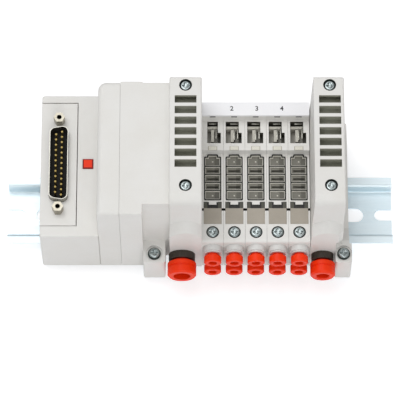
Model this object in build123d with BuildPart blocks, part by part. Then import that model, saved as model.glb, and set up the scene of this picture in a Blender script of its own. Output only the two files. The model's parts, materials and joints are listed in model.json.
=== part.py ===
from build123d import *
from math import radians, tan
import os

# A pneumatic valve island clamped on a top-hat rail, in millimetres.
# X runs along the rail, Y points to the back and Z up, away from the mounting plane.
# The origin is on the rail's underside, at the middle of its length and width.

# Rail
rail_length = 190.0
rail_width = 35.0
rail_height = 7.5
rail_sheet = 1.0
rail_channel = 27.0
rail_bend = 1.3
slot_length = 18.0
slot_width = 7.4
slot_pitch = 28.8
slot_count = 6
end_slot_depth = 8.5
end_slot_width = 5.8

# Widths along the rail, from left to right
island_left = -77.3
dsub_width = 28.3
cover_left_width = 10.6
cover_right_width = 23.7
block_width = 15.6
pitch = 10.5
station_count = 5
end_plate_width = 3.6

# Depths and levels
front_y = -28.0
back_y = 41.3
box_back_y = 46.7
floor_z = 4.0
shelf_z = 34.0
contact_z = 39.0
strip_z = 45.3
box_top = 41.0
cover_top = 69.0
block_top = 74.6

# Clearances
seam_gap = 0.1
rail_gap = 0.4
swing_gap = 0.35
running_gap = 0.05
loose_gap = 0.15
overrun = 1.0

# Housings
wall = 1.8
floor_thickness = 2.0
corner_round = 1.2
edge_round = 0.8
cover_corner = 4.0
cover_edge = 2.2
cover_step = 0.6
loom_width = 14.0
loom_height = 8.0
loom_y = 27.0
loom_z = 18.0
board_length = 54.0
board_height = 44.0
board_thickness = 1.6
board_y = 8.0
board_z = 40.0
standoff_length = 5.0
standoff_radius = 2.5
standoff_inset = 5.0
header_length = 30.0
header_height = 9.0
header_depth = 6.0
chip_size = 9.0
chip_depth = 2.0

# Connector carrier and its 25-way connector
carrier_width = 17.5
carrier_front = -22.2
carrier_back = 42.5
carrier_skin = 2.2
carrier_edge = 0.3
trunnion_radius = 2.0
trunnion_length = 2.5
dsub_y = 9.4
shell_width = 8.36
shell_length = 38.96
shell_sheet = 0.4
shell_height = 5.9
shell_corner = 2.6
shell_angle = 10.0
flange_width = 12.55
flange_length = 53.04
flange_sheet = 0.8
post_spacing = 47.04
post_flats = 4.76
post_height = 5.0
post_bore = 1.2
post_bore_depth = 4.4
post_shank = 1.45
post_shank_length = 5.0
insulator_rise = 0.6
insulator_depth = 4.5
insulator_width = 10.6
insulator_gap = 1.07
pin_radius = 0.5
pin_reach = 4.6
pin_tail = 3.0
pin_pitch = 2.77
pin_row_gap = 2.84
long_row = 13
short_row = 12

# Release button
button_side = 5.0
button_y = 10.1
button_proud = 0.6
button_round = 0.3
button_height = 8.0
button_ear = 1.5
button_ear_height = 1.2

# Supply and exhaust blocks
block_front_y = -24.4
block_round = 5.0
block_lean = 1.0
louvre_shift_right = 0.9
boss_front_y = -28.6
boss_front_top = 46.5
boss_back_top = 52.0
boss_arch = 3.5
louvre_count = 7
louvre_pitch = 5.58
louvre_opening = 3.9
louvre_width = 10.4
louvre_y = 12.66
grille_thickness = 2.2
chamber_depth = 12.0
chamber_margin = 1.4
chamber_side = 0.2
silencer_drop = 3.2
block_screw_back = 36.8
block_screw_front = -15.4
screw_head_radius = 2.75
screw_head_height = 1.7
screw_radius = 1.5
block_screw_length = 12.0
block_screw_sink = 2.2
counterbore_radius = 3.1

# Large push-in fittings
port_z = 19.5
port_shift_left = -1.9
port_shift_right = -1.6
tube_radius_left = 4.0
tube_radius_right = 3.0
tube_gap = 0.1
neck_wall = 0.6
barrel_wall = 0.7
ring_wall = 0.95
collar_wall_left = 2.3
collar_wall_right = 2.35
port_barrel_end = -12.0
port_seat_end = -17.0
port_neck_end = -21.0
port_ring_length = 3.6
port_collar_length = 6.5
port_gap = 1.4
seat_step = 1.0
port_neck_length = 9.0
groove_place = 2.0
groove_width = 0.9
groove_depth = 0.4
lip_chamfer = 0.8
mouth_chamfer_left = 0.1
mouth_chamfer_right = 0.4

# Small push-in fittings, one pair on each station
upper_port_z = 27.2
port_spacing = 11.6
small_tube_radius = 2.0
small_neck_wall = 0.5
small_barrel_wall = 0.55
small_collar_radius = 4.15
flange_radius = 4.5
flange_depth = 2.8
small_barrel_end = -13.0
small_seat_end = -19.0
small_neck_end = -24.6
small_collar_length = 3.3
mouth_chamfer = 0.3
rim_radius = 3.9
rim_length = 0.8
small_gap = 2.3
small_neck_length = 7.2
flow_radius = 1.2

# Valve seats
seat_width = 8.4
seat_front = -6.1
seat_back = 17.1
dome_width = 5.4
dome_rise = 1.1
seat_corner = 0.6
seat_depth = 2.6
plate_thickness = 1.8
gasket_thickness = 1.1
gasket_line = 0.55
gasket_bar = 0.5
first_bar = -0.9
bar_pitch = 4.26
bar_count = 4
port_slot_length = 5.6
port_slot_width = 1.0

# Fitting clips, station screws and latch details
clip_width = 8.6
clip_front = -18.4
clip_back = -10.2
clip_sheet = 0.7
clip_recess = 0.8
prong_width = 1.7
prong_length = 3.4
leg_width = 3.0
leg_sheet = 0.8
leg_front = -17.0
tab_width = 3.7
tab_length = 1.4
rib_notch = 1.3
rib_notch_depth = 3.0
station_screw_y = -22.7
station_screw_sink = 1.1
station_screw_length = 2.2
shelf_round = 1.6

# Station connectors and number strip
socket_width = 6.4
first_socket_width = 5.2
socket_shift = -0.9
socket_front = 22.1
socket_back = 33.6
socket_depth = 8.0
side_slot_width = 1.4
side_slot_length = 5.6
side_slot_depth = 5.0
contact_base = 2.0
crossbar_y = 30.9
crossbar_length = 1.4
crossbar_height = 4.6
blade_width = 1.4
blade_front = 23.2
blade_back = 29.6
blade_height = 5.0
latch_width = 3.8
latch_length = 1.8
latch_height = 0.6
contact_front = 18.3
strip_front = 34.1
strip_thickness = 1.2
mark_width = 2.5
mark_height = 0.9
mark_depth = 1.0

# End plates, clamps and tie rods
foot_front = -34.5
foot_top = 24.0
foot_notch_top = 34.4
foot_back = -22.8
foot_left_width = 10.8
foot_gap = 2.1
foot_right_width = 8.0
foot_right_edge = 73.8
plate_top_right = 20.0
plate_slope = 8.0
hook_reach = 3.6
hook_bottom = 3.2
hook_thickness = 3.0
hook_root = 4.0
clamp_screw_y = -29.6
clamp_recess_radius = 4.0
clamp_recess_depth = 1.0
jaw_width = 6.4
jaw_thickness = 3.0
jaw_front = -32.8
jaw_boss = 3.3
jaw_boss_back = -26.0
jaw_gap = 0.3
rod_radius = 2.0
rod_front_y = -8.0
rod_back_y = 30.0
rod_z = 13.0
rod_start = 3.4
nut_flats = 7.0
nut_thickness = 2.2
nut_recess_radius = 4.3

# Places that follow from the sizes above
cover_x = island_left + dsub_width
seam_x = cover_x + cover_left_width
block_left_x = seam_x + cover_right_width
stations_x = block_left_x + block_width
block_right_x = stations_x + station_count * pitch
plate_right_x = block_right_x + block_width
island_right = plate_right_x + end_plate_width
foot_left_x = block_left_x - foot_gap - foot_left_width
carrier_half = carrier_width / 2
pivot_x = island_left + carrier_half
insulator_length = post_spacing - 2 * (post_shank + insulator_gap)
pivot_z = box_top - carrier_half
carrier_edge_x = island_left + carrier_width
button_x = (carrier_edge_x + cover_x) / 2
skin_z = box_top - carrier_skin
side_y = rail_width / 2 + rail_gap
station_xs = [stations_x + pitch * (i + 0.5) for i in range(station_count)]
block_xs = [block_left_x + block_width / 2, block_right_x + block_width / 2]
vent_xs = [block_xs[0], block_xs[1] + louvre_shift_right]
clamp_xs = [foot_left_x + foot_left_width / 2, foot_right_edge - foot_right_width / 2]
port_xs = [block_xs[0] + port_shift_left, block_xs[1] + port_shift_right]

os.makedirs("parts", exist_ok=True)


def cuboid(x, y, z, mode=Mode.ADD):
    centre = ((x[0] + x[1]) / 2, (y[0] + y[1]) / 2, (z[0] + z[1]) / 2)
    with Locations(centre):
        Box(x[1] - x[0], y[1] - y[0], z[1] - z[0], mode=mode)


def clear_rail(x):
    cuboid(x, (-side_y, side_y), (floor_z - overrun, rail_height), Mode.SUBTRACT)


def clear_rods(x):
    with BuildSketch(Plane.YZ.offset(x[0])) as holes:
        with Locations((rod_front_y, rod_z), (rod_back_y, rod_z)):
            Circle(rod_radius + loose_gap)
    extrude(holes.sketch, amount=x[1] - x[0], mode=Mode.SUBTRACT)


# A round along Y, from its back end to its front end
def round_y(x, z, radius, y_from, y_to, mode=Mode.ADD):
    with BuildSketch(Plane.XZ.offset(-y_from)) as disc:
        with Locations((x, z)):
            Circle(radius)
    extrude(disc.sketch, amount=y_from - y_to, mode=mode)


def bore_z(x, y, radius, z_from, z_to):
    with BuildSketch(Plane.XY.offset(z_to)) as disc:
        with Locations((x, y)):
            Circle(radius)
    extrude(disc.sketch, amount=z_from - z_to, mode=Mode.SUBTRACT)


# Outline of the D-shaped plug, its wide side towards +X
def d_outline(growth):
    half_width = shell_width / 2 + growth
    half_length = shell_length / 2 + growth
    taper = 2 * half_width * tan(radians(shell_angle))
    with BuildSketch() as outline:
        with BuildLine():
            Polyline((-half_width, taper - half_length), (half_width, -half_length),
                     (half_width, half_length), (-half_width, half_length - taper), close=True)
        make_face()
        fillet(outline.vertices(), shell_corner + growth)
    return outline.sketch


def clear_jaw(x):
    half = jaw_width / 2 + jaw_gap
    cuboid((x - half, x + half), (jaw_front - jaw_gap, -side_y + hook_reach + jaw_gap),
           (floor_z - overrun, hook_bottom + jaw_thickness + jaw_gap), Mode.SUBTRACT)
    cuboid((x - half, x + half), (jaw_front - jaw_gap, jaw_boss_back + jaw_gap),
           (floor_z - overrun, hook_bottom + jaw_thickness + jaw_boss + jaw_gap), Mode.SUBTRACT)


def save(piece, label):
    piece.label = label
    export_step(piece, "parts/" + label + ".step")


# The rail: one strip, rolled to a top-hat section and slotted along its web
with BuildPart() as din_rail:
    lip_z = rail_height - rail_sheet / 2
    web_z = rail_sheet / 2
    wall_y = (rail_channel - rail_sheet) / 2
    with BuildSketch(Plane.YZ.offset(-rail_length / 2)):
        with BuildLine():
            FilletPolyline((-rail_width / 2, lip_z), (-wall_y, lip_z), (-wall_y, web_z),
                           (wall_y, web_z), (wall_y, lip_z), (rail_width / 2, lip_z),
                           radius=rail_bend)
        trace(line_width=rail_sheet)
    extrude(amount=rail_length)
    with BuildSketch(Plane.XY):
        with GridLocations(slot_pitch, 1, slot_count, 1):
            SlotOverall(slot_length, slot_width)
        with Locations((-rail_length / 2, 0), (rail_length / 2, 0)):
            SlotOverall(2 * end_slot_depth, end_slot_width)
    extrude(amount=rail_sheet + overrun, mode=Mode.SUBTRACT)
save(din_rail.part, "din_rail")


# Section of the space that the carrier swings in: round below its pivot, open above and to the left
def clear_swing(reach, y_from, y_to):
    left = island_left - overrun
    top = box_top + overrun
    with BuildSketch(Plane.XZ.offset(-y_from)) as section:
        with Locations((pivot_x, pivot_z)):
            Circle(reach)
        with Locations(((left + pivot_x) / 2, (pivot_z - reach + top) / 2)):
            Rectangle(pivot_x - left, top - pivot_z + reach)
        with Locations(((left + pivot_x + reach) / 2, (pivot_z + top) / 2)):
            Rectangle(pivot_x + reach - left, top - pivot_z)
    extrude(section.sketch, amount=y_from - y_to, mode=Mode.SUBTRACT)


# Hollow of the connector housing, which leaves a cradle round the carrier
with BuildPart() as dsub_hollow:
    cuboid((island_left + wall, cover_x + overrun), (front_y + wall, box_back_y - wall),
           (rail_height + floor_thickness, box_top - wall))
    clear_swing(carrier_half + swing_gap + wall, box_back_y, front_y)

with BuildPart() as dsub_housing:
    with BuildSketch(Plane.XY.offset(floor_z)) as plan:
        with Locations(((island_left + cover_x) / 2, (front_y + box_back_y) / 2)):
            Rectangle(dsub_width, box_back_y - front_y)
        fillet(plan.vertices().group_by(Axis.X)[0], corner_round)
    extrude(amount=box_top - floor_z)
    fillet(dsub_housing.faces().sort_by(Axis.Z)[-1].edges().sort_by(Axis.X)[:-1], edge_round)
    add(dsub_hollow.part, mode=Mode.SUBTRACT)
    clear_swing(carrier_half + swing_gap, carrier_back + swing_gap, carrier_front - swing_gap)
    trunnion_reach = carrier_back + trunnion_length + swing_gap
    round_y(pivot_x, pivot_z, trunnion_radius + running_gap, trunnion_reach, carrier_back, Mode.SUBTRACT)
    round_y(pivot_x, pivot_z, trunnion_radius + running_gap, carrier_front,
           carrier_front - trunnion_length - swing_gap, Mode.SUBTRACT)
    half = button_side / 2 + loose_gap
    cuboid((button_x - half, button_x + half), (button_y - half, button_y + half),
           (box_top - wall - overrun, box_top + overrun), Mode.SUBTRACT)
    clear_rail((island_left - overrun, cover_x + overrun))
save(dsub_housing.part, "dsub_housing")


# The swivelling carrier: flat on top, round below its trunnions and open from underneath
with BuildPart() as connector_carrier:
    with BuildSketch(Plane.XZ.offset(-carrier_back)):
        with Locations((pivot_x, pivot_z)):
            Circle(carrier_half)
        with Locations((pivot_x, pivot_z + carrier_half / 2)):
            Rectangle(carrier_width, carrier_half)
    extrude(amount=carrier_back - carrier_front)
    fillet(connector_carrier.faces().sort_by(Axis.Z)[-1].edges(), carrier_edge)
    pocket_x = flange_width / 2 + loose_gap
    pocket_y = flange_length / 2 + loose_gap
    cuboid((pivot_x - pocket_x, pivot_x + pocket_x), (dsub_y - pocket_y, dsub_y + pocket_y),
           (pivot_z - carrier_half - overrun, skin_z), Mode.SUBTRACT)
    with BuildSketch(Plane.XY.offset(skin_z - overrun)):
        with Locations((pivot_x, dsub_y)):
            add(d_outline(shell_sheet + seam_gap))
    extrude(amount=carrier_skin + 2 * overrun, mode=Mode.SUBTRACT)
    with BuildSketch(Plane.XY.offset(skin_z - overrun)):
        with Locations((pivot_x, dsub_y)):
            with GridLocations(1, post_spacing, 1, 2):
                Circle(post_shank + running_gap)
    extrude(amount=carrier_skin + 2 * overrun, mode=Mode.SUBTRACT)
    round_y(pivot_x, pivot_z, trunnion_radius, carrier_back + trunnion_length, carrier_back)
    round_y(pivot_x, pivot_z, trunnion_radius, carrier_front, carrier_front - trunnion_length)
save(connector_carrier.part, "connector_carrier")

# The plug shell: a D-shaped collar drawn up from its flange
with BuildPart() as dsub_shell:
    with BuildSketch(Plane.XY.offset(skin_z - flange_sheet)):
        with Locations((pivot_x, dsub_y)):
            Rectangle(flange_width, flange_length)
            add(d_outline(0), mode=Mode.SUBTRACT)
            with GridLocations(1, post_spacing, 1, 2):
                Circle(post_shank + running_gap, mode=Mode.SUBTRACT)
    extrude(amount=flange_sheet)
    with BuildSketch(Plane.XY.offset(skin_z)):
        with Locations((pivot_x, dsub_y)):
            add(d_outline(shell_sheet))
            add(d_outline(0), mode=Mode.SUBTRACT)
    extrude(amount=shell_height)
save(dsub_shell.part, "dsub_shell")

row_places = [(pivot_x + pin_row_gap / 2, dsub_y + pin_pitch * (i - (long_row - 1) / 2))
              for i in range(long_row)]
row_places += [(pivot_x - pin_row_gap / 2, dsub_y + pin_pitch * (i - (short_row - 1) / 2))
               for i in range(short_row)]

with BuildPart() as dsub_insulator:
    with BuildSketch(Plane.XY.offset(skin_z - flange_sheet)):
        with Locations((pivot_x, dsub_y)):
            add(d_outline(-running_gap))
    extrude(amount=flange_sheet + insulator_rise)
    with BuildSketch(Plane.XY.offset(skin_z - flange_sheet - insulator_depth)):
        with Locations((pivot_x, dsub_y)):
            Rectangle(insulator_width, insulator_length)
    extrude(amount=insulator_depth)
    with BuildSketch(Plane.XY.offset(skin_z + insulator_rise)):
        with Locations(*row_places):
            Circle(pin_radius + running_gap)
    extrude(amount=-(flange_sheet + insulator_rise + insulator_depth), mode=Mode.SUBTRACT)
save(dsub_insulator.part, "dsub_insulator")

with BuildPart() as dsub_pins:
    with BuildSketch(Plane.XY.offset(skin_z - flange_sheet - insulator_depth - pin_tail)):
        with Locations(*row_places):
            Circle(pin_radius)
    extrude(amount=pin_tail + insulator_depth + flange_sheet + insulator_rise + pin_reach)
save(dsub_pins.part, "dsub_pins")

with BuildPart() as jackposts:
    with BuildSketch(Plane.XY.offset(box_top)):
        with Locations((pivot_x, dsub_y)):
            with GridLocations(1, post_spacing, 1, 2):
                RegularPolygon(post_flats / 2, 6, major_radius=False)
    extrude(amount=post_height)
    with BuildSketch(Plane.XY.offset(box_top)):
        with Locations((pivot_x, dsub_y)):
            with GridLocations(1, post_spacing, 1, 2):
                Circle(post_shank)
    extrude(amount=-post_shank_length)
    with BuildSketch(Plane.XY.offset(box_top + post_height)):
        with Locations((pivot_x, dsub_y)):
            with GridLocations(1, post_spacing, 1, 2):
                Circle(post_bore)
    extrude(amount=-post_bore_depth, mode=Mode.SUBTRACT)
save(jackposts.part, "jackposts")

# Push button that frees the carrier, kept in by an ear at its front and back
with BuildPart() as release_button:
    half = button_side / 2
    ceiling = box_top - wall - seam_gap
    cuboid((button_x - half, button_x + half), (button_y - half, button_y + half),
           (box_top + button_proud - button_height, box_top + button_proud))
    cuboid((button_x - half, button_x + half),
           (button_y - half - button_ear, button_y + half + button_ear),
           (ceiling - button_ear_height, ceiling))
    fillet(release_button.faces().sort_by(Axis.Z)[-1].edges(), button_round)
save(release_button.part, "release_button")

# Electronics cover in two mouldings, each open towards the other
with BuildPart() as cover_left:
    with BuildSketch(Plane.XY.offset(floor_z)) as plan:
        with Locations(((cover_x + seam_x) / 2, (front_y + back_y) / 2)):
            Rectangle(cover_left_width, back_y - front_y)
        fillet(plan.vertices().group_by(Axis.X)[0].sort_by(Axis.Y)[-1], cover_corner)
        fillet(plan.vertices().group_by(Axis.X)[0].sort_by(Axis.Y)[0], edge_round)
    extrude(amount=cover_top - floor_z)
    fillet(cover_left.faces().sort_by(Axis.Z)[-1].edges().sort_by(Axis.X)[:-1], cover_edge)
    cuboid((cover_x + wall, seam_x + overrun), (front_y + wall, back_y - wall),
           (rail_height + floor_thickness, cover_top - wall), Mode.SUBTRACT)
    for y in (board_y - board_length / 2 + standoff_inset, board_y + board_length / 2 - standoff_inset):
        for z in (board_z - board_height / 2 + standoff_inset, board_z + board_height / 2 - standoff_inset):
            with BuildSketch(Plane.YZ.offset(cover_x + wall)):
                with Locations((y, z)):
                    Circle(standoff_radius)
            extrude(amount=standoff_length)
    cuboid((cover_x - overrun, cover_x + wall + overrun), (loom_y - loom_width / 2, loom_y + loom_width / 2),
           (loom_z - loom_height / 2, loom_z + loom_height / 2), Mode.SUBTRACT)
    clear_rail((cover_x - overrun, seam_x + overrun))
save(cover_left.part, "cover_left")

with BuildPart() as cover_right:
    with BuildSketch(Plane.XY.offset(floor_z)):
        with BuildLine():
            Polyline((seam_x + seam_gap, front_y), (foot_left_x, front_y), (foot_left_x, foot_back),
                     (block_left_x, foot_back), (block_left_x, back_y - cover_step),
                     (foot_left_x, back_y - cover_step), (foot_left_x, back_y),
                     (seam_x + seam_gap, back_y), close=True)
        make_face()
    extrude(amount=cover_top - floor_z)
    top_edges = cover_right.faces().sort_by(Axis.Z)[-1].edges().filter_by(Axis.X)
    fillet(top_edges.sort_by(Axis.Y)[0], edge_round)
    fillet(cover_right.faces().sort_by(Axis.Z)[-1].edges().filter_by(Axis.X).sort_by(Axis.Y)[-2:],
           cover_step / 2)
    cuboid((seam_x - overrun, foot_left_x - wall), (front_y + wall, back_y - wall - cover_step),
           (rail_height + floor_thickness, cover_top - wall), Mode.SUBTRACT)
    cuboid((foot_left_x - wall - overrun, block_left_x - wall),
           (foot_back + wall, back_y - wall - cover_step),
           (foot_top + wall, cover_top - wall), Mode.SUBTRACT)
    cuboid((foot_left_x, block_left_x + overrun), (front_y - overrun, back_y + overrun),
           (floor_z - overrun, foot_top), Mode.SUBTRACT)
    clear_rail((seam_x - overrun, foot_left_x + overrun))
save(cover_right.part, "cover_right")

with BuildPart() as circuit_board:
    board_x = cover_x + wall + standoff_length
    cuboid((board_x, board_x + board_thickness),
           (board_y - board_length / 2, board_y + board_length / 2),
           (board_z - board_height / 2, board_z + board_height / 2))
    with BuildSketch(Plane.YZ.offset(board_x + board_thickness)):
        with Locations((board_y, board_z - board_height / 2 + header_height)):
            Rectangle(header_length, header_height)
    extrude(amount=header_depth)
    with BuildSketch(Plane.YZ.offset(board_x + board_thickness)):
        with Locations((board_y, board_z + chip_size / 2)):
            with GridLocations(2 * chip_size, 1, 2, 1):
                Rectangle(chip_size, chip_size)
    extrude(amount=chip_depth)
save(circuit_board.part, "circuit_board")

# End plates: each hooks the rail's back lip and carries a clamp foot in front
def end_plate_profile(top_z):
    slope_start = foot_back if top_z < foot_top else back_y
    slope_end = foot_back + plate_slope if top_z < foot_top else back_y
    points = [(foot_front, floor_z), (foot_front, foot_top), (slope_start, foot_top)]
    if top_z < foot_top:
        points += [(slope_end, top_z), (back_y, top_z)]
    points += [(back_y, floor_z), (side_y + hook_root, floor_z), (side_y + hook_root, hook_bottom),
               (side_y - hook_reach, hook_bottom), (side_y - hook_reach, hook_bottom + hook_thickness),
               (side_y, hook_bottom + hook_thickness), (side_y, rail_height),
               (-side_y, rail_height), (-side_y, floor_z)]
    return points


def clamp_foot_holes(x):
    clear_jaw(x)
    bore_z(x, clamp_screw_y, clamp_recess_radius, foot_top, foot_top - clamp_recess_depth)
    bore_z(x, clamp_screw_y, screw_radius + loose_gap, foot_top, floor_z)


with BuildPart() as end_plate_left:
    with BuildSketch(Plane.YZ.offset(foot_left_x)):
        with BuildLine():
            Polyline(*end_plate_profile(foot_top), close=True)
        make_face()
    extrude(amount=block_left_x - foot_left_x)
    cuboid((foot_left_x + foot_left_width, block_left_x + overrun), (foot_front - overrun, foot_back),
           (floor_z - overrun, foot_top + overrun), Mode.SUBTRACT)
    fillet(end_plate_left.edges().filter_by(Axis.Z).group_by(Axis.Y)[0], corner_round)
    clamp_foot_holes(clamp_xs[0])
    for y in (rod_front_y, rod_back_y):
        with BuildSketch(Plane.YZ.offset(block_left_x)):
            with Locations((y, rod_z)):
                Circle(rod_radius + running_gap)
        extrude(amount=-(block_left_x - foot_left_x - rod_start + seam_gap), mode=Mode.SUBTRACT)
save(end_plate_left.part, "end_plate_left")

with BuildPart() as end_plate_right:
    with BuildSketch(Plane.YZ.offset(plate_right_x)):
        with BuildLine():
            Polyline(*end_plate_profile(plate_top_right), close=True)
        make_face()
    extrude(amount=end_plate_width)
    cuboid((foot_right_edge - foot_right_width, foot_right_edge),
           (foot_front, block_front_y - seam_gap), (floor_z, foot_top))
    fillet(end_plate_right.edges().filter_by(Axis.Z).group_by(Axis.Y)[0], corner_round)
    clamp_foot_holes(clamp_xs[1])
    clear_rods((plate_right_x - overrun, island_right + overrun))
    for y in (rod_front_y, rod_back_y):
        with BuildSketch(Plane.YZ.offset(island_right)):
            with Locations((y, rod_z)):
                Circle(nut_recess_radius)
        extrude(amount=-nut_thickness, mode=Mode.SUBTRACT)
save(end_plate_right.part, "end_plate_right")

for side, x in zip(("left", "right"), clamp_xs):
    with BuildPart() as clamp_jaw:
        with BuildSketch(Plane.YZ.offset(x - jaw_width / 2)):
            with BuildLine():
                Polyline((jaw_front, hook_bottom), (jaw_front, hook_bottom + jaw_thickness + jaw_boss),
                         (jaw_boss_back, hook_bottom + jaw_thickness + jaw_boss),
                         (jaw_boss_back, hook_bottom + jaw_thickness),
                         (-side_y + hook_reach, hook_bottom + jaw_thickness),
                         (-side_y + hook_reach, hook_bottom), close=True)
            make_face()
        extrude(amount=jaw_width)
        with BuildSketch(Plane.XY.offset(hook_bottom)):
            with Locations((x, clamp_screw_y)):
                Circle(screw_radius + running_gap)
        extrude(amount=jaw_thickness + jaw_boss, mode=Mode.SUBTRACT)
    save(clamp_jaw.part, "clamp_jaw_" + side)
    with BuildPart() as clamp_screw:
        seat_z = foot_top - clamp_recess_depth
        with BuildSketch(Plane.XY.offset(seat_z)):
            with Locations((x, clamp_screw_y)):
                Circle(screw_head_radius)
        extrude(amount=screw_head_height)
        fillet(clamp_screw.edges().sort_by(Axis.Z)[-1], edge_round)
        with BuildSketch(Plane.XY.offset(seat_z)):
            with Locations((x, clamp_screw_y)):
                Circle(screw_radius)
        extrude(amount=hook_bottom + loose_gap - seat_z)
    save(clamp_screw.part, "clamp_screw_" + side)

with BuildPart() as tie_rods:
    for y in (rod_front_y, rod_back_y):
        with BuildSketch(Plane.YZ.offset(foot_left_x + rod_start)):
            with Locations((y, rod_z)):
                Circle(rod_radius)
        extrude(amount=island_right - foot_left_x - rod_start)
save(tie_rods.part, "tie_rods")

with BuildPart() as tie_rod_nuts:
    for y in (rod_front_y, rod_back_y):
        with BuildSketch(Plane.YZ.offset(island_right - nut_thickness)):
            with Locations((y, rod_z)):
                RegularPolygon(nut_flats / 2, 6, major_radius=False)
                Circle(rod_radius + running_gap, mode=Mode.SUBTRACT)
        extrude(amount=nut_thickness - seam_gap)
save(tie_rod_nuts.part, "tie_rod_nuts")


# Supply and exhaust blocks: an upright moulding with louvres on top and an arched port boss in front
chamber_y = (louvre_count - 1) / 2 * louvre_pitch + louvre_opening / 2 + chamber_margin
chamber_x = louvre_width / 2 + chamber_side
grille_z = block_top - grille_thickness
neck_radii = [tube_radius_left + tube_gap + neck_wall, tube_radius_right + tube_gap + neck_wall]
barrel_radii = [r + running_gap + barrel_wall for r in neck_radii]

# Port boss: its roof is arched and slopes down to the front
def port_boss(x):
    half = block_width / 2
    slope = (0, block_front_y - boss_front_y, boss_back_top - boss_front_top)
    with BuildPart() as boss:
        cuboid((x - half, x + half), (boss_front_y, block_front_y + edge_round), (floor_z, boss_back_top))
        with BuildSketch(Plane(origin=(x, boss_front_y, boss_front_top), x_dir=(-1, 0, 0), z_dir=slope)):
            with BuildLine():
                Polyline((half, -boss_arch), (half, -block_top), (-half, -block_top), (-half, -boss_arch))
                ThreePointArc((-half, -boss_arch), (0, 0), (half, -boss_arch))
            make_face()
        extrude(amount=block_top, both=True, mode=Mode.INTERSECT)
    return boss.part


for side, x, vent_x, port_x, barrel in zip(("left", "right"), block_xs, vent_xs, port_xs, barrel_radii):
    x_from = x - block_width / 2
    x_to = x + block_width / 2
    with BuildPart() as supply_block:
        with BuildSketch(Plane.YZ.offset(x_from)) as profile:
            with Locations(((block_front_y + back_y) / 2, (floor_z + block_top) / 2)):
                Rectangle(back_y - block_front_y, block_top - floor_z)
            fillet(profile.vertices().group_by(Axis.Y)[-1].sort_by(Axis.X)[0], block_round)
            fillet(profile.vertices().group_by(Axis.Y)[-1].sort_by(Axis.X)[-1], corner_round)
        extrude(amount=block_width)
        fillet(supply_block.edges().filter_by(Axis.Z).group_by(Axis.Y)[-1], edge_round)
        add(port_boss(x))
        if side == "right":
            with BuildSketch(Plane.XZ.offset(-(back_y + overrun))):
                with BuildLine():
                    Polyline((x_from, foot_top), (x_from + block_lean, block_top),
                             (x_from, block_top), close=True)
                make_face()
            extrude(amount=back_y + overrun - boss_front_y, mode=Mode.SUBTRACT)
        cuboid((vent_x - chamber_x, vent_x + chamber_x), (louvre_y - chamber_y, louvre_y + chamber_y),
               (grille_z - chamber_depth, grille_z), Mode.SUBTRACT)
        with BuildSketch(Plane.XY.offset(block_top)):
            with Locations((vent_x, louvre_y)):
                with GridLocations(1, louvre_pitch, 1, louvre_count):
                    Rectangle(louvre_width, louvre_opening)
        extrude(amount=-grille_thickness, mode=Mode.SUBTRACT)
        screw_seat_z = block_top - block_screw_sink
        for y in (block_screw_back, block_screw_front):
            bore_z(vent_x, y, counterbore_radius, block_top, screw_seat_z)
            bore_z(vent_x, y, screw_radius + running_gap, screw_seat_z, screw_seat_z - block_screw_length)
        round_y(port_x, port_z, barrel + running_gap, port_barrel_end + seam_gap, boss_front_y, Mode.SUBTRACT)
        clear_rods((x_from - overrun, x_to + overrun))
        if side == "right":
            clear_jaw(clamp_xs[1])
            cuboid((foot_right_edge - foot_right_width - seam_gap, x_to + overrun),
                   (boss_front_y - overrun, block_front_y),
                   (floor_z - overrun, foot_notch_top), Mode.SUBTRACT)
            bore_z(clamp_xs[1], clamp_screw_y, counterbore_radius, boss_back_top, foot_top)
        clear_rail((x_from - overrun, x_to + overrun))
    save(supply_block.part, "supply_block_" + side)

with BuildPart() as silencers:
    for x in vent_xs:
        cuboid((x - chamber_x + seam_gap, x + chamber_x - seam_gap),
               (louvre_y - chamber_y + seam_gap, louvre_y + chamber_y - seam_gap),
               (grille_z - chamber_depth, grille_z - silencer_drop))
save(silencers.part, "silencers")

with BuildPart() as number_strip:
    cuboid((stations_x + seam_gap, block_right_x - seam_gap), (strip_front, back_y - seam_gap),
           (strip_z - strip_thickness, strip_z))
save(number_strip.part, "number_strip")

# Large push-in fittings: a black body in the block and a red release bushing that slides in it
port_sizes = zip(("left", "right"), port_xs, (tube_radius_left, tube_radius_right), neck_radii,
                 barrel_radii, (collar_wall_left, collar_wall_right),
                 (mouth_chamfer_left, mouth_chamfer_right))
for side, x, tube, neck, barrel, collar_wall, mouth in port_sizes:
    ring_front = boss_front_y - port_ring_length
    collar_back = ring_front - port_gap
    collar_front = collar_back - port_collar_length
    bore = tube + tube_gap
    with BuildPart() as port_fitting:
        round_y(x, port_z, barrel, port_barrel_end, boss_front_y)
        round_y(x, port_z, barrel + ring_wall, boss_front_y, ring_front)
        round_y(x, port_z, neck + running_gap, port_neck_end, ring_front, Mode.SUBTRACT)
        round_y(x, port_z, bore, port_seat_end, port_neck_end, Mode.SUBTRACT)
        round_y(x, port_z, bore - seat_step, port_barrel_end, port_seat_end, Mode.SUBTRACT)
    save(port_fitting.part, "port_fitting_" + side)
    with BuildPart() as port_bushing:
        groove_y = collar_back - groove_place
        collar = neck + collar_wall
        with BuildSketch(Plane.XY.offset(port_z)):
            with BuildLine():
                Polyline((x + bore, collar_front + mouth), (x + bore + mouth, collar_front),
                         (x + collar - lip_chamfer, collar_front), (x + collar, collar_front + lip_chamfer),
                         (x + collar, groove_y - groove_width),
                         (x + collar - groove_depth, groove_y - groove_width),
                         (x + collar - groove_depth, groove_y), (x + collar, groove_y),
                         (x + collar, collar_back), (x + neck, collar_back),
                         (x + neck, collar_back + port_neck_length),
                         (x + bore, collar_back + port_neck_length),
                         close=True)
            make_face()
        revolve(axis=Axis((x, 0, port_z), (0, 1, 0)))
    save(port_bushing.part, "port_bushing_" + side)

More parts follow.
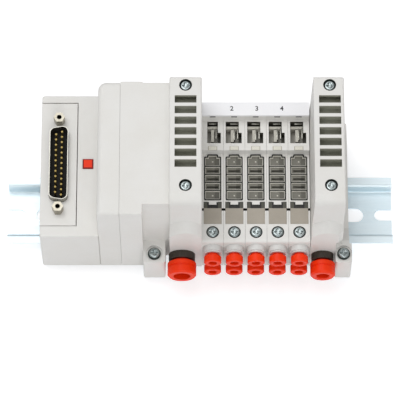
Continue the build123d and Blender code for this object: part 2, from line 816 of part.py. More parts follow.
# Outline of a valve seat: a rounded bar with a raised back end
def seat_outline(inset):
    length = seat_back - seat_front
    with BuildSketch() as outline:
        with Locations((0, (seat_front + seat_back) / 2)):
            RectangleRounded(seat_width - 2 * inset, length - 2 * inset, seat_corner)
        with Locations((0, (seat_front + seat_back + dome_rise) / 2)):
            RectangleRounded(dome_width - 2 * inset, length + dome_rise - 2 * inset, seat_corner)
    return outline.sketch


bar_ys = [first_bar + bar_pitch * i for i in range(bar_count)]
small_neck = small_tube_radius + tube_gap / 2 + small_neck_wall
small_barrel = small_neck + running_gap + small_barrel_wall
lower_port_z = upper_port_z - port_spacing
clip_groove = small_neck
leg_inner = clip_groove + seam_gap
leg_outer = leg_inner + leg_sheet
leg_bottom = lower_port_z - small_barrel
seat_floor = shelf_z - seat_depth

for number, x in enumerate(station_xs, 1):
    half = (pitch - seam_gap) / 2
    socket_half = (first_socket_width if number == 1 else socket_width) / 2
    socket_x = x if number == 1 else x + socket_shift
    with BuildPart() as station:
        with BuildSketch(Plane.YZ.offset(x - half)) as profile:
            with BuildLine():
                Polyline((front_y, floor_z), (front_y, shelf_z), (contact_front, shelf_z),
                         (contact_front, contact_z), (strip_front, contact_z),
                         (strip_front, strip_z - strip_thickness), (back_y, strip_z - strip_thickness),
                         (back_y, floor_z), close=True)
            make_face()
            fillet(profile.vertices().group_by(Axis.X)[0].sort_by(Axis.Y)[-1], shelf_round)
        extrude(amount=2 * half)
        # seat pocket, port plate below and gasket above
        with BuildSketch(Plane.XY.offset(shelf_z)):
            with Locations((x, 0)):
                add(seat_outline(0))
        extrude(amount=-seat_depth, mode=Mode.SUBTRACT)
        # recess of the fitting clip, with its prongs and legs
        cuboid((x - clip_width / 2 - seam_gap, x + clip_width / 2 + seam_gap),
               (clip_front - seam_gap, clip_back + seam_gap),
               (shelf_z - clip_recess, shelf_z + overrun), Mode.SUBTRACT)
        for turn in (-1, 1):
            prong = sorted((x + turn * (clip_width / 2 + seam_gap),
                            x + turn * (clip_width / 2 - prong_width - seam_gap)))
            cuboid(prong, (clip_back, clip_back + prong_length + seam_gap),
                   (shelf_z - clip_recess, shelf_z + overrun), Mode.SUBTRACT)
            leg = sorted((x + turn * (leg_inner - seam_gap), x + turn * (leg_outer + seam_gap)))
            cuboid(leg, (leg_front - seam_gap, leg_front + leg_width + seam_gap),
                   (leg_bottom - seam_gap, shelf_z - clip_recess), Mode.SUBTRACT)
            notch = sorted((x + turn * (clip_width / 2), x + turn * (half + overrun)))
            cuboid(notch, (clip_back - rib_notch, clip_back),
                   (shelf_z - rib_notch_depth, shelf_z + overrun), Mode.SUBTRACT)
        # groove round the locating tab
        inner = clip_width / 2 - prong_width - seam_gap
        cuboid((x - inner, x + inner), (clip_back + seam_gap, clip_back + prong_length),
               (shelf_z - clip_recess, shelf_z + overrun), Mode.SUBTRACT)
        cuboid((x - tab_width / 2, x + tab_width / 2),
               (clip_back + prong_length - tab_length, clip_back + prong_length),
               (shelf_z - clip_recess, shelf_z))
        # valve screw
        screw_seat_z = shelf_z - station_screw_sink
        bore_z(x, station_screw_y, counterbore_radius, shelf_z, screw_seat_z)
        bore_z(x, station_screw_y, screw_radius + running_gap, screw_seat_z,
               screw_seat_z - station_screw_length)
        # connector socket, its side slot, the latch pad and the mark slot
        cuboid((socket_x - socket_half, socket_x + socket_half), (socket_front, socket_back),
               (contact_z - socket_depth, contact_z + overrun), Mode.SUBTRACT)
        cuboid((socket_x + socket_half - overrun, socket_x + socket_half + side_slot_width),
               (socket_front, socket_front + side_slot_length),
               (contact_z - side_slot_depth, contact_z + overrun), Mode.SUBTRACT)
        cuboid((x - latch_width / 2, x + latch_width / 2),
               (contact_front, contact_front + latch_length), (contact_z, contact_z + latch_height))
        cuboid((x - mark_width / 2, x + mark_width / 2), (strip_front - overrun, strip_front + mark_depth),
               (strip_z - strip_thickness - mark_height, strip_z - strip_thickness), Mode.SUBTRACT)
        for z in (upper_port_z, lower_port_z):
            round_y(x, z, small_barrel + running_gap, small_barrel_end + seam_gap, front_y, Mode.SUBTRACT)
        clear_rods((x - half - overrun, x + half + overrun))
        clear_rail((x - half - overrun, x + half + overrun))
    save(station.part, "station_" + str(number))

    with BuildPart() as gasket:
        with BuildSketch(Plane.XY.offset(seat_floor + plate_thickness)):
            with Locations((x, 0)):
                add(seat_outline(running_gap))
                add(seat_outline(gasket_line), mode=Mode.SUBTRACT)
            with Locations(*[(x, y) for y in bar_ys]):
                Rectangle(seat_width - gasket_line, gasket_bar)
        extrude(amount=gasket_thickness)
    save(gasket.part, "gasket_" + str(number))

    with BuildPart() as contacts:
        base_z = contact_z - socket_depth
        edge = seam_gap
        cuboid((socket_x - socket_half + edge, socket_x + socket_half - edge),
               (socket_front + edge, socket_back - edge), (base_z, base_z + contact_base))
        cuboid((socket_x - socket_half + edge, socket_x + socket_half - edge),
               (crossbar_y - crossbar_length / 2, crossbar_y + crossbar_length / 2),
               (base_z, base_z + contact_base + crossbar_height))
        cuboid((socket_x - blade_width / 2, socket_x + blade_width / 2), (blade_front, blade_back),
               (base_z, base_z + contact_base + blade_height))
    save(contacts.part, "station_connector_" + str(number))

    with BuildPart() as cylinder_fitting:
        with BuildSketch(Plane.XZ.offset(-front_y)):
            with Locations((x, (upper_port_z + lower_port_z) / 2)):
                SlotCenterToCenter(port_spacing, 2 * flange_radius, rotation=90)
        extrude(amount=flange_depth)
        for z in (upper_port_z, lower_port_z):
            round_y(x, z, small_barrel, small_barrel_end, front_y)
        cuboid((x - flange_radius, x + flange_radius), (leg_front, leg_front + leg_width),
               (lower_port_z - flange_radius, upper_port_z + flange_radius), Mode.SUBTRACT)
        for z in (upper_port_z, lower_port_z):
            round_y(x, z, clip_groove, leg_front + leg_width, leg_front)
            round_y(x, z, rim_radius, front_y - flange_depth, front_y - flange_depth - rim_length)
        for z in (upper_port_z, lower_port_z):
            round_y(x, z, small_neck + running_gap, small_neck_end, front_y - flange_depth - rim_length,
                    Mode.SUBTRACT)
            round_y(x, z, small_tube_radius + tube_gap / 2, small_seat_end, small_neck_end, Mode.SUBTRACT)
            round_y(x, z, flow_radius, small_barrel_end, small_seat_end, Mode.SUBTRACT)
    save(cylinder_fitting.part, "cylinder_fitting_" + str(number))

    for level, z in (("upper", upper_port_z), ("lower", lower_port_z)):
        with BuildPart() as bushing:
            collar_back = front_y - flange_depth - small_gap
            collar_front = collar_back - small_collar_length
            bore = small_tube_radius + tube_gap / 2
            with BuildSketch(Plane.XY.offset(z)):
                with BuildLine():
                    Polyline((x + bore, collar_front + mouth_chamfer),
                             (x + bore + mouth_chamfer, collar_front),
                             (x + small_collar_radius - lip_chamfer / 2, collar_front),
                             (x + small_collar_radius, collar_front + lip_chamfer / 2),
                             (x + small_collar_radius, collar_back), (x + small_neck, collar_back),
                             (x + small_neck, collar_back + small_neck_length),
                             (x + bore, collar_back + small_neck_length), close=True)
                make_face()
            revolve(axis=Axis((x, 0, z), (0, 1, 0)))
        save(bushing.part, level + "_bushing_" + str(number))

with BuildPart() as port_plates:
    for x in station_xs:
        with BuildSketch(Plane.XY.offset(seat_floor)):
            with Locations((x, 0)):
                add(seat_outline(running_gap))
            with Locations(*[(x, y + bar_pitch / 2) for y in bar_ys[:-1]]):
                Rectangle(port_slot_length, port_slot_width, mode=Mode.SUBTRACT)
        extrude(amount=plate_thickness)
save(port_plates.part, "port_plates")

with BuildPart() as fitting_clips:
    for x in station_xs:
        sheet_z = (shelf_z - clip_recess, shelf_z - clip_recess + clip_sheet)
        cuboid((x - clip_width / 2, x + clip_width / 2), (clip_front, clip_back), sheet_z)
        for turn in (-1, 1):
            prong = sorted((x + turn * clip_width / 2, x + turn * (clip_width / 2 - prong_width)))
            cuboid(prong, (clip_back, clip_back + prong_length), sheet_z)
            leg = sorted((x + turn * leg_inner, x + turn * leg_outer))
            cuboid(leg, (leg_front, leg_front + leg_width), (leg_bottom, sheet_z[0]))
save(fitting_clips.part, "fitting_clips")

with BuildPart() as mounting_screws:
    places = [(x, y, block_top - block_screw_sink, block_screw_length)
              for x in vent_xs for y in (block_screw_back, block_screw_front)]
    places += [(x, station_screw_y, shelf_z - station_screw_sink, station_screw_length) for x in station_xs]
    for x, y, z, length in places:
        with BuildSketch(Plane.XY.offset(z)):
            with Locations((x, y)):
                Circle(screw_head_radius)
        extrude(amount=screw_head_height)
        with BuildSketch(Plane.XY.offset(z)):
            with Locations((x, y)):
                Circle(screw_radius)
        extrude(amount=-length)
save(mounting_screws.part, "mounting_screws")
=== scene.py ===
import json
import math

import bpy
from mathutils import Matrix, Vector


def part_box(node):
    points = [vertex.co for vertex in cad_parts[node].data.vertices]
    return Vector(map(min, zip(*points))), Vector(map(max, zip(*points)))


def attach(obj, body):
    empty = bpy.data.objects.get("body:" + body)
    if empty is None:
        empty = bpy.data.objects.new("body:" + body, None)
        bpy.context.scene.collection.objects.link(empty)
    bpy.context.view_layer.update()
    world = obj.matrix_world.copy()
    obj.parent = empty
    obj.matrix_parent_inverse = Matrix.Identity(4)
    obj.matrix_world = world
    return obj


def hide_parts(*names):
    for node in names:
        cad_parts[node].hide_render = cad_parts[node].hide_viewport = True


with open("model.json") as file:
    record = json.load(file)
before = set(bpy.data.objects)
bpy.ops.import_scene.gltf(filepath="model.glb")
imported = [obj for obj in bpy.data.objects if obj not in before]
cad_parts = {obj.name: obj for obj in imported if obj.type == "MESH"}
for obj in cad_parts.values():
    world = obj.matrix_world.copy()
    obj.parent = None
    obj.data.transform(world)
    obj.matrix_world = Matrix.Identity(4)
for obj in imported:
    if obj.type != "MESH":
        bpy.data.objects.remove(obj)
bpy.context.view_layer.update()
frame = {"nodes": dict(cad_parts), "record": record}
nodes = frame["nodes"]
print("frame loaded,", len(nodes), "nodes")

mm = 0.001


# shader maths on sockets: + - * / and power, with numbers on either side
class Wire:
    def __init__(self, look, socket):
        self.look = look
        self.socket = socket

    def join(self, operation, first, second):
        node = self.look.tree.nodes.new("ShaderNodeMath")
        node.operation = operation
        for spot, item in enumerate((first, second)):
            if isinstance(item, Wire):
                self.look.tree.links.new(item.socket, node.inputs[spot])
            else:
                node.inputs[spot].default_value = item
        return Wire(self.look, node.outputs[0])

    def __add__(self, other):
        return self.join("ADD", self, other)

    def __radd__(self, other):
        return self.join("ADD", other, self)

    def __sub__(self, other):
        return self.join("SUBTRACT", self, other)

    def __rsub__(self, other):
        return self.join("SUBTRACT", other, self)

    def __mul__(self, other):
        return self.join("MULTIPLY", self, other)

    def __rmul__(self, other):
        return self.join("MULTIPLY", other, self)

    def __truediv__(self, other):
        return self.join("DIVIDE", self, other)

    def __rtruediv__(self, other):
        return self.join("DIVIDE", other, self)

    def __pow__(self, other):
        return self.join("POWER", self, other)

    def above(self, edge):
        return self.join("GREATER_THAN", self, edge)

    def below(self, edge):
        return self.join("LESS_THAN", self, edge)

    def within(self, low, high):
        return self.above(low) * self.below(high)

    def size(self):
        return self.join("ABSOLUTE", self, 0.0)

    def most(self, other):
        return self.join("MAXIMUM", self, other)

    def over(self, step):
        return self.join("FLOORED_MODULO", self, step)


# one material: the principled shader and whatever feeds it
class Look:
    def __init__(self, name):
        self.material = bpy.data.materials.new(name)
        self.material.use_nodes = True
        self.tree = self.material.node_tree
        self.shader = self.tree.nodes["Principled BSDF"]
        self.place = Wire(self, self.tree.nodes.new("ShaderNodeTexCoord").outputs["Object"])

    def add(self, kind, out=0, settings=None, **inputs):
        node = self.tree.nodes.new("ShaderNode" + kind)
        for key, value in (settings or {}).items():
            setattr(node, key, value)
        for key, value in inputs.items():
            self.feed(node.inputs[int(key[1:]) if key[1:].isdigit() else key.replace("_", " ")], value)
        return Wire(self, node.outputs[out])

    def feed(self, socket, value):
        if isinstance(value, Wire):
            self.tree.links.new(value.socket, socket)
        else:
            socket.default_value = value

    def set(self, **inputs):
        for key, value in inputs.items():
            self.feed(self.shader.inputs[key.replace("_", " ")], value)

    def stretched(self, scale):
        return self.add("Mapping", Vector=self.place, Scale=scale)

    def noise(self, scale, detail=3.0, rough=0.5, stretch=(1, 1, 1)):
        return self.add("TexNoise", Vector=self.stretched(stretch), Scale=scale, Detail=detail,
                        Roughness=rough)

    def ramp(self, value, low, high):
        return self.add("MapRange", Value=value, From_Min=low, From_Max=high, To_Min=0.0, To_Max=1.0)

    def mix(self, amount, first, second):
        return self.add("Mix", out=2, settings={"data_type": "RGBA"}, i0=amount, i6=first, i7=second)

    def bump(self, height, strength, depth):
        return self.add("Bump", Height=height, Strength=strength, Distance=depth)


def rgb(code, gain=1.0):
    parts = [int(code[i:i + 2], 16) / 255 for i in (0, 2, 4)]
    linear = [p / 12.92 if p < 0.04045 else ((p + 0.055) / 1.055) ** 2.4 for p in parts]
    return tuple(min(1, gain * p) for p in linear) + (1,)


# moulded and plated surfaces: colour clouds, a fine grain and uneven gloss
blend = {"cloudShare": 0.75, "fineShare": 0.25, "low": 0.3, "high": 0.7, "cloudRelief": 0.3,
         "spotShade": 0.8, "coatRough": 0.12}


def surface(name, tone, shade, rough, spread, grain, depth, clouds=60, metal=0.0, coat=0.0,
            stretch=(1, 1, 1), clear=0.5, gloss=0.5, marks=None):
    look = Look(name)
    cloud = look.noise(clouds, 4, 0.6, stretch)
    fine = look.noise(grain, 3, 0.55, stretch)
    patches = cloud * blend["cloudShare"] + fine * blend["fineShare"]
    colour = look.mix(look.ramp(patches, blend["low"], blend["high"]), rgb(shade), rgb(tone))
    for spot, paint in (marks(look) if marks else ()):  # marked places get a colour of their own: most are painted shade in recesses, holes, slots and on shaded sides, the rest are the parts' own colour
        speckle = look.ramp(fine, blend["low"], blend["high"])
        colour = look.mix(spot, colour, look.mix(speckle, rgb(paint, blend["spotShade"]), rgb(paint)))
    look.set(Base_Color=colour,
             Roughness=rough + (cloud - 0.5) * spread + (fine - 0.5) * spread,
             Normal=look.bump(fine + cloud * blend["cloudRelief"], clear, depth))
    look.shader.inputs["Metallic"].default_value = metal
    look.shader.inputs["Coat Weight"].default_value = coat
    look.shader.inputs["Coat Roughness"].default_value = blend["coatRough"]
    look.shader.inputs["Specular IOR Level"].default_value = gloss
    return look.material


def middle(name):
    low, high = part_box(name)
    return (low + high) / 2


def inMillimetres(look):
    split = look.tree.nodes.new("ShaderNodeSeparateXYZ")
    look.tree.links.new(look.place.socket, split.inputs[0])
    return [Wire(look, split.outputs[axis]) / mm for axis in range(3)]


# 1 where each named measure lies between its limits, with None for an open side
def region(measures, limits):
    tests = []
    for name, (low, high) in limits.items():
        if low is not None:
            tests.append(measures[name].above(low))
        if high is not None:
            tests.append(measures[name].below(high))
    found = tests[0]
    for test in tests[1:]:
        found = found * test
    return found


def awayFrom(x, y, centre):
    return (x - centre[0]) ** 2 + (y - centre[1]) ** 2


stations = [f"station_{n}" for n in range(1, 6)]
pitch = (middle("station_2").x - middle("station_1").x) / mm
stationX = middle("station_1").x / mm
shelfTop = 34.0
contactTop = 39.0
blockTop = 74.6
sunk = 0.12  # a pocket's walls start this far below its rim
underShelf = (None, shelfTop - sunk)
screwRows = {"block": (36.8, -15.4), "station": -22.7}
louvreShift = 0.9
ventPlaces = {"left": middle("supply_block_left").x / mm,
              "right": middle("supply_block_right").x / mm + louvreShift}

stationSpots = (  # colour and limits in mm, across counts from a station's middle
    ("4A483D", {"y": (21.9, 33.8), "z": (None, contactTop - sunk)}),  # socket: painted shade inside the socket recess
    ("2A2A26", {"y": (34.05, None), "z": (43.1, 44.15), "across": (None, 1.4)}),  # dash under the strip
    ("26251F", {"y": (-6.3, 18.4), "z": underShelf}),  # seat of the gasket: painted shade on the pocket walls under the gasket
    ("A3A196", {"y": (-6.3, 18.4), "z": (None, shelfTop - 1.0), "across": (None, 3.3)}),  # air passages: painted shade on the deep passage floors, lighter than the pocket walls
    ("1D1C18", {"y": (-10.3, -6.6), "z": (None, shelfTop - 0.5)}),  # clip recess: painted shade inside the recess
    ("14130F", {"y": (-11.7, -10.1), "z": underShelf, "across": (4.2, None)}),  # rib notch: painted shade inside the notch
    ("3A4440", {"y": (-26.2, -19.2), "z": underShelf}),  # screw hole: painted shade inside the counterbore
    ("B9B4A6", {"y": (17.9, 20.45), "z": (contactTop - 0.1, contactTop + 0.1),
                "across": (None, 2.2)}),  # outline of the latch tab
    ("EDEADD", {"y": (17.9, 20.45), "z": (contactTop + 0.1, None)}),  # latch tab
)
# slot and screw: painted shade on the louvre slot walls and inside the screw recesses of the supply blocks
blockSpots = {"slot": "B0B0A2", "slotHalf": 5.45, "slotY": (-8.0, 33.5), "screw": "3A4440",
              "screwReach": 3.3, "z": (50.0, blockTop - sunk)}
# screw: painted shade inside the clamp screw recesses of the feet
footSpots = {"screw": "3A4440", "screwReach": 3.2, "z": (15.0, 23.05)}
# prong: painted shade on the clip's prongs where they reach into the clip recess
clipSpots = {"prong": "4B4A40", "prongY": -10.15}
# shade: painted shade on the right part of each cell's port plate, the left part kept lighter
plateSpots = {"shade": "4A4940", "from": 1.0, "strength": 0.55}
# frame: painted shade on the release button's edges, the face kept brighter
buttonSpots = {"frame": "9E1B10", "from": 1.95}
# bore: painted shade inside the jackpost bores
postSpots = {"bore": "1C1A16", "reach": 1.3, "below": 45.8, "fromMiddle": 23.52}


def stationMarks(look):
    x, y, z = inMillimetres(look)
    across = ((x - stationX + pitch / 2).over(pitch) - pitch / 2).size()
    measures = {"y": y, "z": z, "across": across}
    return [(region(measures, limits), paint) for paint, limits in stationSpots]


def blockMarks(look):
    x, y, z = inMillimetres(look)
    spots = []
    for ventX in ventPlaces.values():
        measures = {"fromVent": (x - ventX).size(), "y": y, "z": z}
        # the louvre slot walls get painted shade
        slot = region(measures, {"fromVent": (None, blockSpots["slotHalf"]), "y": blockSpots["slotY"],
                                 "z": blockSpots["z"]})
        spots.append((slot, blockSpots["slot"]))
        # the screw recesses get painted shade
        for screwY in screwRows["block"]:
            reach = awayFrom(x, y, (ventX, screwY)).below(blockSpots["screwReach"] ** 2)
            spots.append((reach * z.within(*blockSpots["z"]), blockSpots["screw"]))
    return spots


def footMarks(look):
    x, y, z = inMillimetres(look)
    spots = []
    for side in ("left", "right"):
        centre = middle("clamp_screw_" + side) / mm
        reach = awayFrom(x, y, centre).below(footSpots["screwReach"] ** 2)
        spots.append((reach * z.within(*footSpots["z"]), footSpots["screw"]))
    return spots


def clipMarks(look):
    x, y, z = inMillimetres(look)
    return [(y.above(clipSpots["prongY"]), clipSpots["prong"])]


def plateMarks(look):
    x, y, z = inMillimetres(look)
    across = (x - stationX + pitch / 2).over(pitch) - pitch / 2
    return [(across.above(plateSpots["from"]) * plateSpots["strength"], plateSpots["shade"])]


def buttonMarks(look):
    x, y, z = inMillimetres(look)
    centre = middle("release_button") / mm
    edge = (x - centre.x).size().most((y - centre.y).size()).above(buttonSpots["from"])
    return [(edge, buttonSpots["frame"])]


def postMarks(look):
    x, y, z = inMillimetres(look)
    centre = middle("jackposts") / mm
    away = awayFrom(x, (y - centre.y).size(), (centre.x, postSpots["fromMiddle"]))
    bore = away.below(postSpots["reach"] ** 2) * z.below(postSpots["below"])
    return [(bore, postSpots["bore"])]


finishes = {  # colours as hex codes, grain per metre, depth in metres
    "housing": dict(tone="E9E8E5", shade="E3E1DC", rough=0.52, spread=0.16, grain=2600, depth=0.00002),
    "zinc_plate": dict(tone="EDF7FB", shade="CFE0E8", rough=0.5, spread=0.22, grain=900, depth=0.00001,
                       clouds=45, metal=1.0, stretch=(0.12, 1, 1)),
    "board": dict(tone="35693F", shade="285033", rough=0.4, spread=0.2, grain=900, depth=0.00003),
    "silencer_felt": dict(tone="A6A698", shade="7C7C6E", rough=0.85, spread=0.2, grain=1500, depth=0.0003,
                          clear=0.9),
    "screw_steel": dict(tone="C3CCCC", shade="8F9A9B", rough=0.34, spread=0.24, grain=1400, depth=0.00002,
                        clouds=240, metal=1.0),
    "black_resin": dict(tone="463F37", shade="332D27", rough=0.46, spread=0.2, grain=1800, depth=0.00002,
                        gloss=0.3),
    "dark_resin": dict(tone="85837A", shade="716F66", rough=0.55, spread=0.2, grain=2000, depth=0.00002),
    "clip_resin": dict(tone="AFA79B", shade="A0988B", rough=0.5, spread=0.16, grain=2200, depth=0.00002),
    "label_plate": dict(tone="FAFAFC", shade="F2F2F5", rough=0.4, spread=0.14, grain=1500, depth=0.00001),
    "tin_shell": dict(tone="B9B7AF", shade="8B8981", rough=0.3, spread=0.24, grain=1200, depth=0.00002,
                      clouds=180, metal=1.0, stretch=(1, 1, 0.2)),
    "gold_contact": dict(tone="B09C62", shade="8A7748", rough=0.5, spread=0.15, grain=2500, depth=0.00001,
                         metal=1.0),
    "nickel_post": dict(tone="BDB8AA", shade="938E81", rough=0.36, spread=0.18, grain=1500, depth=0.00002,
                        clouds=250, metal=1.0),
    "red_resin": dict(tone="FF3D08", shade="F23006", rough=0.42, spread=0.14, grain=1500, depth=0.00001,
                      gloss=0.2),
    "seal_rubber": dict(tone="1A1A15", shade="0F0F0B", rough=0.6, spread=0.2, grain=2200, depth=0.00003),
    "connector_resin": dict(tone="C9C6BC", shade="B3B0A5", rough=0.45, spread=0.16, grain=2200, depth=0.00002),
    "pale_resin": dict(tone="DCDBD9", shade="D0CFCC", rough=0.42, spread=0.16, grain=2200, depth=0.00002),
}
looks = {name: surface(name, **values) for name, values in finishes.items()}
marked = {
    "station": surface("station_housing", marks=stationMarks, **finishes["housing"]),
    "supply_block": surface("block_housing", marks=blockMarks, **finishes["housing"]),
    "end_plate": surface("foot_housing", marks=footMarks, **finishes["housing"]),
    "fitting_clips": surface("clip_pronged", marks=clipMarks, **finishes["clip_resin"]),
    "port_plates": surface("plate_shaded", marks=plateMarks, **finishes["dark_resin"]),
    "release_button": surface("button_edge_shade", marks=buttonMarks, **finishes["red_resin"]),
    "jackposts": surface("post_bored", marks=postMarks, **finishes["nickel_post"]),
    "dsub_insulator": surface("insert_black", tone="100E0B", shade="080705", rough=0.6, spread=0.2, grain=1800,
                              depth=0.00002, gloss=0.25),
}

for part in frame["record"]["subparts"]:
    name = part["node"]
    kind = next((k for k in marked if name.startswith(k) and "connector" not in name), None)
    nodes[name].data.materials.clear()
    nodes[name].data.materials.append(marked[kind] if kind else looks[part["material_slot"]])
print("finishes made,", len(looks) + len(marked))

# rounded edges on the mouldings
softEdges = {"housing": 0.00018, "pale_resin": 0.0001, "clip_resin": 0.00008, "nickel_post": 0.00025}
sharpFrom = math.radians(50)
for part in frame["record"]["subparts"]:
    if part["material_slot"] in softEdges:
        bevel = nodes[part["node"]].modifiers.new("edges", "BEVEL")
        bevel.width = softEdges[part["material_slot"]]
        bevel.segments = 2
        bevel.limit_method = "ANGLE"
        bevel.angle_limit = sharpFrom
        bevel.harden_normals = False


# modelling helpers
def only(*pieces):
    bpy.ops.object.select_all(action="DESELECT")
    for piece in pieces:
        piece.select_set(True)
    bpy.context.view_layer.objects.active = pieces[0]


def settle(piece):
    only(piece)
    bpy.ops.object.transform_apply(location=True, rotation=True, scale=True)


def slab(x, y, z):
    bpy.ops.mesh.primitive_cube_add(size=1, location=(sum(x) / 2 * mm, sum(y) / 2 * mm, sum(z) / 2 * mm))
    piece = bpy.context.object
    piece.scale = ((x[1] - x[0]) * mm, (y[1] - y[0]) * mm, (z[1] - z[0]) * mm)
    settle(piece)
    return piece


def combine(name, pieces, finish):
    only(*pieces)
    if len(pieces) > 1:
        bpy.ops.object.join()
    piece = bpy.context.object
    piece.name = name
    piece.data.materials.clear()
    piece.data.materials.append(looks[finish])
    settle(piece)
    return piece


def cut(piece, tool, operation="DIFFERENCE"):
    only(piece)
    change = piece.modifiers.new("cut", "BOOLEAN")
    change.operation = operation
    change.object = tool
    bpy.ops.object.modifier_apply(modifier=change.name)
    bpy.data.objects.remove(tool)


def roundOff(piece, width, segments=2, angle=40):
    only(piece)
    change = piece.modifiers.new("round", "BEVEL")
    change.width = width * mm
    change.segments = segments
    change.angle_limit = math.radians(angle)
    bpy.ops.object.modifier_apply(modifier=change.name)
    bpy.ops.object.shade_smooth_by_angle(angle=math.radians(35))


def copyTo(piece, shift):
    only(piece)
    bpy.ops.object.duplicate()
    double = bpy.context.object
    bpy.ops.transform.translate(value=shift)
    settle(double)
    return double


# pan heads with a cross recess
pan = {"radius": 2.6, "height": 1.7, "round": 0.8, "recess": 1.75, "arm": 0.42, "armRound": 0.12,
       "depth": 1.2, "centre": 0.75, "centreLift": 0.45, "centreTall": 2, "shank": 1.5,
       "shankRound": 0.3, "sunk": 0.2}


def panHead(x, y, z, shankTo=None):
    bpy.ops.mesh.primitive_cylinder_add(vertices=48, radius=pan["radius"] * mm, depth=pan["height"] * mm,
                                        location=(0, 0, pan["height"] / 2 * mm))
    head = bpy.context.object
    settle(head)
    roundOff(head, pan["round"], 4)
    low, high = pan["height"] - pan["depth"], pan["height"] + 1
    for wide, tall in ((pan["recess"], pan["arm"]), (pan["arm"], pan["recess"])):
        arm = slab((-wide, wide), (-tall, tall), (low, high))
        roundOff(arm, pan["armRound"], 2)
        cut(head, arm)
    bpy.ops.mesh.primitive_cylinder_add(vertices=24, radius=pan["centre"] * mm,
                                        depth=pan["centreTall"] * mm,
                                        location=(0, 0, (pan["height"] + pan["centreLift"]) * mm))
    settle(bpy.context.object)
    cut(head, bpy.context.object)
    if shankTo is not None:
        length = z - shankTo + pan["sunk"]
        bpy.ops.mesh.primitive_cylinder_add(vertices=32, radius=pan["shank"] * mm, depth=length * mm,
                                            location=(0, 0, (pan["sunk"] - length / 2) * mm))
        shank = bpy.context.object
        settle(shank)
        roundOff(shank, pan["shankRound"], 2)
        only(head, shank)
        bpy.ops.object.join()
    only(head)
    bpy.ops.transform.translate(value=(x * mm, y * mm, z * mm))
    settle(head)
    return head


screwSeat = {"block": blockTop - 2.2, "station": shelfTop - 1.1}
heads = [panHead(ventPlaces[side], row, screwSeat["block"])
         for side in ("left", "right") for row in screwRows["block"]]
heads += [panHead(middle(name).x / mm, screwRows["station"], screwSeat["station"])
          for name in stations]
screws = combine("screw_heads", heads, "screw_steel")
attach(screws, "manifold")
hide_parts("mounting_screws")
for side in ("left", "right"):
    low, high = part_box("clamp_screw_" + side)
    turning = panHead((low.x + high.x) / 2 / mm, (low.y + high.y) / 2 / mm,
                      high.z / mm - pan["height"], low.z / mm)
    turning = combine("clamp_head_" + side, [turning], "screw_steel")
    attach(turning, "clamp_screw_turning_" + side)
    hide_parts("clamp_screw_" + side)
print("screw heads modelled")

# station numbers printed on the strip
numbers = {"text": "234", "first": 15.5, "step": 12.2, "y": 37.7, "height": 3.4, "lift": 0.02,
           "thick": 0.03, "bold": 0.06}
glyphs = []
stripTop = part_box("number_strip")[1].z / mm
for place, sign in enumerate(numbers["text"]):
    bpy.ops.object.text_add(location=(0, 0, 0))
    glyph = bpy.context.object
    glyph.data.body = sign
    glyph.data.size = numbers["height"] * mm
    glyph.data.align_x = "CENTER"
    glyph.data.align_y = "CENTER"
    glyph.data.extrude = numbers["thick"] / 2 * mm
    glyph.data.offset = numbers["bold"] * mm
    bpy.ops.object.convert(target="MESH")
    glyph = bpy.context.object
    signX = numbers["first"] + place * numbers["step"]
    bpy.ops.transform.translate(value=(signX * mm, numbers["y"] * mm, (stripTop + numbers["lift"]) * mm))
    glyphs.append(glyph)
looks["print_ink"] = surface("print_ink", tone="3C3C3E", shade="2E2E30", rough=0.5, spread=0.1, grain=2000,
                             depth=0.000005)
digits = combine("station_numbers", glyphs, "print_ink")
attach(digits, "manifold")
print("numbers printed")

# the coil contacts that stand in each socket, with x counted from the station's middle
contacts = {"bar": ((-1.9, 1.9), (32.5, 33.0), (37.4, 38.3)),
            "blade": ((-0.4, 0.4), (24.5, 30.6), (35.5, 37.6)),
            "rail": ((1.5, 2.0), (25.0, 31.0), (36.6, 37.8)),
            "cross": ((-1.7, 1.7), (29.2, 29.6), (36.8, 37.4))}
contactRound = 0.12
wires = []
for name in stations:
    x = middle(name).x / mm
    for across, y, z in contacts.values():
        wires.append(slab((x + across[0], x + across[1]), y, z))
for wire in wires:
    roundOff(wire, contactRound)
coilContacts = combine("coil_contacts", wires, "tin_shell")
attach(coilContacts, "manifold")
print("contacts set")

# pale sealing lips in each cell of the gaskets
lips = {"width": 0.22, "inset": 0.62, "top": 34.12, "floor": 33.2, "half": 4.2, "back": 17.1, "front": -6.1,
        "dome": 2.7, "rise": 1.1, "bars": (11.88, 7.62, 3.36, -0.9), "barHalf": 0.3,
        "dots": (14.6, -3.35), "dotRadius": 0.42}
looks["lip_resin"] = surface("lip_resin", tone="DEDCD2", shade="C9C6BA", rough=0.45, spread=0.15, grain=2500,
                             depth=0.00001)


def lipFrame(x, y):
    wide = lips["width"]
    tall = (lips["floor"] - 1, lips["top"] + 1)
    outer = slab(x, y, (lips["floor"], lips["top"]))
    cut(outer, slab((x[0] + wide, x[1] - wide), (y[0] + wide, y[1] - wide), tall))
    return outer


def domeFrame(x, y):
    wide = lips["width"]
    rise = lips["rise"]
    tall = (lips["floor"] - 1, lips["top"] + 1)
    middleX = sum(x) / 2
    dome = lips["dome"] - lips["inset"]
    outer = slab(x, y, (lips["floor"], lips["top"]))
    crown = slab((middleX - dome, middleX + dome), (y[0] + 1, y[1] + rise), (lips["floor"], lips["top"]))
    cut(outer, crown, "UNION")
    cut(outer, slab((x[0] + wide, x[1] - wide), (y[0] + wide, y[1] - wide), tall))
    cut(outer, slab((middleX - dome + wide, middleX + dome - wide), (y[0] + 1, y[1] + rise - wide), tall))
    return outer


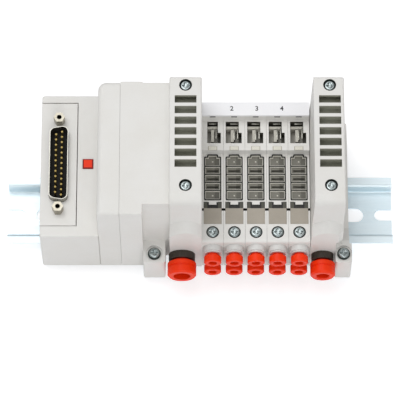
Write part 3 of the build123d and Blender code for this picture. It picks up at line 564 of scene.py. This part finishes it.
firstX = middle("station_1").x / mm
sides = (firstX - lips["half"] + lips["inset"], firstX + lips["half"] - lips["inset"])
rims = [domeFrame(sides, (lips["bars"][0] + lips["barHalf"], lips["back"] - lips["inset"]))]
for back, front in zip(lips["bars"][:-1], lips["bars"][1:]):
    rims.append(lipFrame(sides, (front + lips["barHalf"], back - lips["barHalf"])))
rims.append(lipFrame(sides, (lips["front"] + lips["inset"], lips["bars"][-1] - lips["barHalf"])))
for dotY in lips["dots"]:
    bpy.ops.mesh.primitive_uv_sphere_add(segments=20, ring_count=12, radius=lips["dotRadius"] * mm,
                                         location=(firstX * mm, dotY * mm, lips["floor"] * mm))
    settle(bpy.context.object)
    rims.append(bpy.context.object)
oneSet = combine("lips", rims, "lip_resin")
sets = [oneSet] + [copyTo(oneSet, (middle(name).x - middle("station_1").x, 0, 0))
                   for name in stations[1:]]
sealLips = combine("seal_lips", sets, "lip_resin")
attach(sealLips, "manifold")
print("seal lips laid")

# floor, lights and camera
studio = {
    "floorSize": 6.0,
    "floorTone": "E6E6E8",
    "floorPatch": "E9E9EA",
    "floorDrop": 0.0004,
    "floorGlow": 0.5,
    "skyStrength": 0.52,
    "skyLow": (0.62, 0.64, 0.66, 1),
    "skyHigh": (1, 1, 1, 1),
    "skyTop": 0.7,
    "keyEnergy": 9.0,
    "keySize": 1.1,
    "keyPlace": (-0.35, 0.35, 1.5),
    "fillEnergy": 8.0,
    "fillPlace": (0.2, -1.5, 0.9),
    "elevation": 67.0,
    "distance": 1.5,
    "aim": (0.0, -0.004181, 0.03),
    "lens": 277.2,
}

bpy.ops.mesh.primitive_plane_add(size=studio["floorSize"], location=(0, 0, -studio["floorDrop"]))
floor = bpy.context.object
floor.name = "floor"
floorLook = Look("floor_paint")
floorCloud = floorLook.noise(3, 3)
seen = sum((floorLook.add("LightPath", out=ray) for ray in ("Is Glossy Ray", "Is Transmission Ray")),
           floorLook.add("LightPath", out="Is Camera Ray"))
glow = studio["floorGlow"]
floorLook.set(Emission_Color=floorLook.mix(seen, (0, 0, 0, 1), (glow, glow, glow, 1)), Emission_Strength=1.0)
floorLook.set(Base_Color=floorLook.mix(floorCloud, rgb(studio["floorTone"]),
                                       rgb(studio["floorPatch"])),
              Roughness=0.8 + (floorCloud - 0.5) * 0.1)
floor.data.materials.append(floorLook.material)


def softLight(name, place, energy, size, aim=(0, 0, 0.03)):
    bpy.ops.object.light_add(type="AREA", location=place)
    light = bpy.context.object
    light.name = name
    light.data.shape = "DISK"
    light.data.size = size
    light.data.energy = energy
    light.rotation_euler = (Vector(aim) - Vector(place)).to_track_quat("-Z", "Y").to_euler()
    return light


softLight("key", studio["keyPlace"], studio["keyEnergy"], studio["keySize"])
softLight("fill", studio["fillPlace"], studio["fillEnergy"], studio["keySize"])

world = bpy.data.worlds.new("studio_sky")
world.use_nodes = True
bpy.context.scene.world = world
sky = world.node_tree
background = sky.nodes["Background"]
direction = sky.nodes.new("ShaderNodeTexCoord")
split = sky.nodes.new("ShaderNodeSeparateXYZ")
fade = sky.nodes.new("ShaderNodeValToRGB")
fade.color_ramp.elements[0].color = studio["skyLow"]
fade.color_ramp.elements[1].color = studio["skyHigh"]
fade.color_ramp.elements[1].position = studio["skyTop"]
sky.links.new(direction.outputs["Generated"], split.inputs[0])
sky.links.new(split.outputs["Z"], fade.inputs["Fac"])
sky.links.new(fade.outputs["Color"], background.inputs["Color"])
background.inputs["Strength"].default_value = studio["skyStrength"]

up = math.radians(studio["elevation"])
aim = Vector(studio["aim"])
bpy.ops.object.camera_add(location=aim + studio["distance"] * Vector((0, -math.cos(up), math.sin(up))),
                          rotation=(math.pi / 2 - up, 0, 0))
camera = bpy.context.object
camera.data.lens = studio["lens"]
camera.data.sensor_width = 36
camera.data.clip_end = 20
bpy.context.scene.camera = camera
bpy.context.scene.view_settings.view_transform = "Standard"
print("studio set")
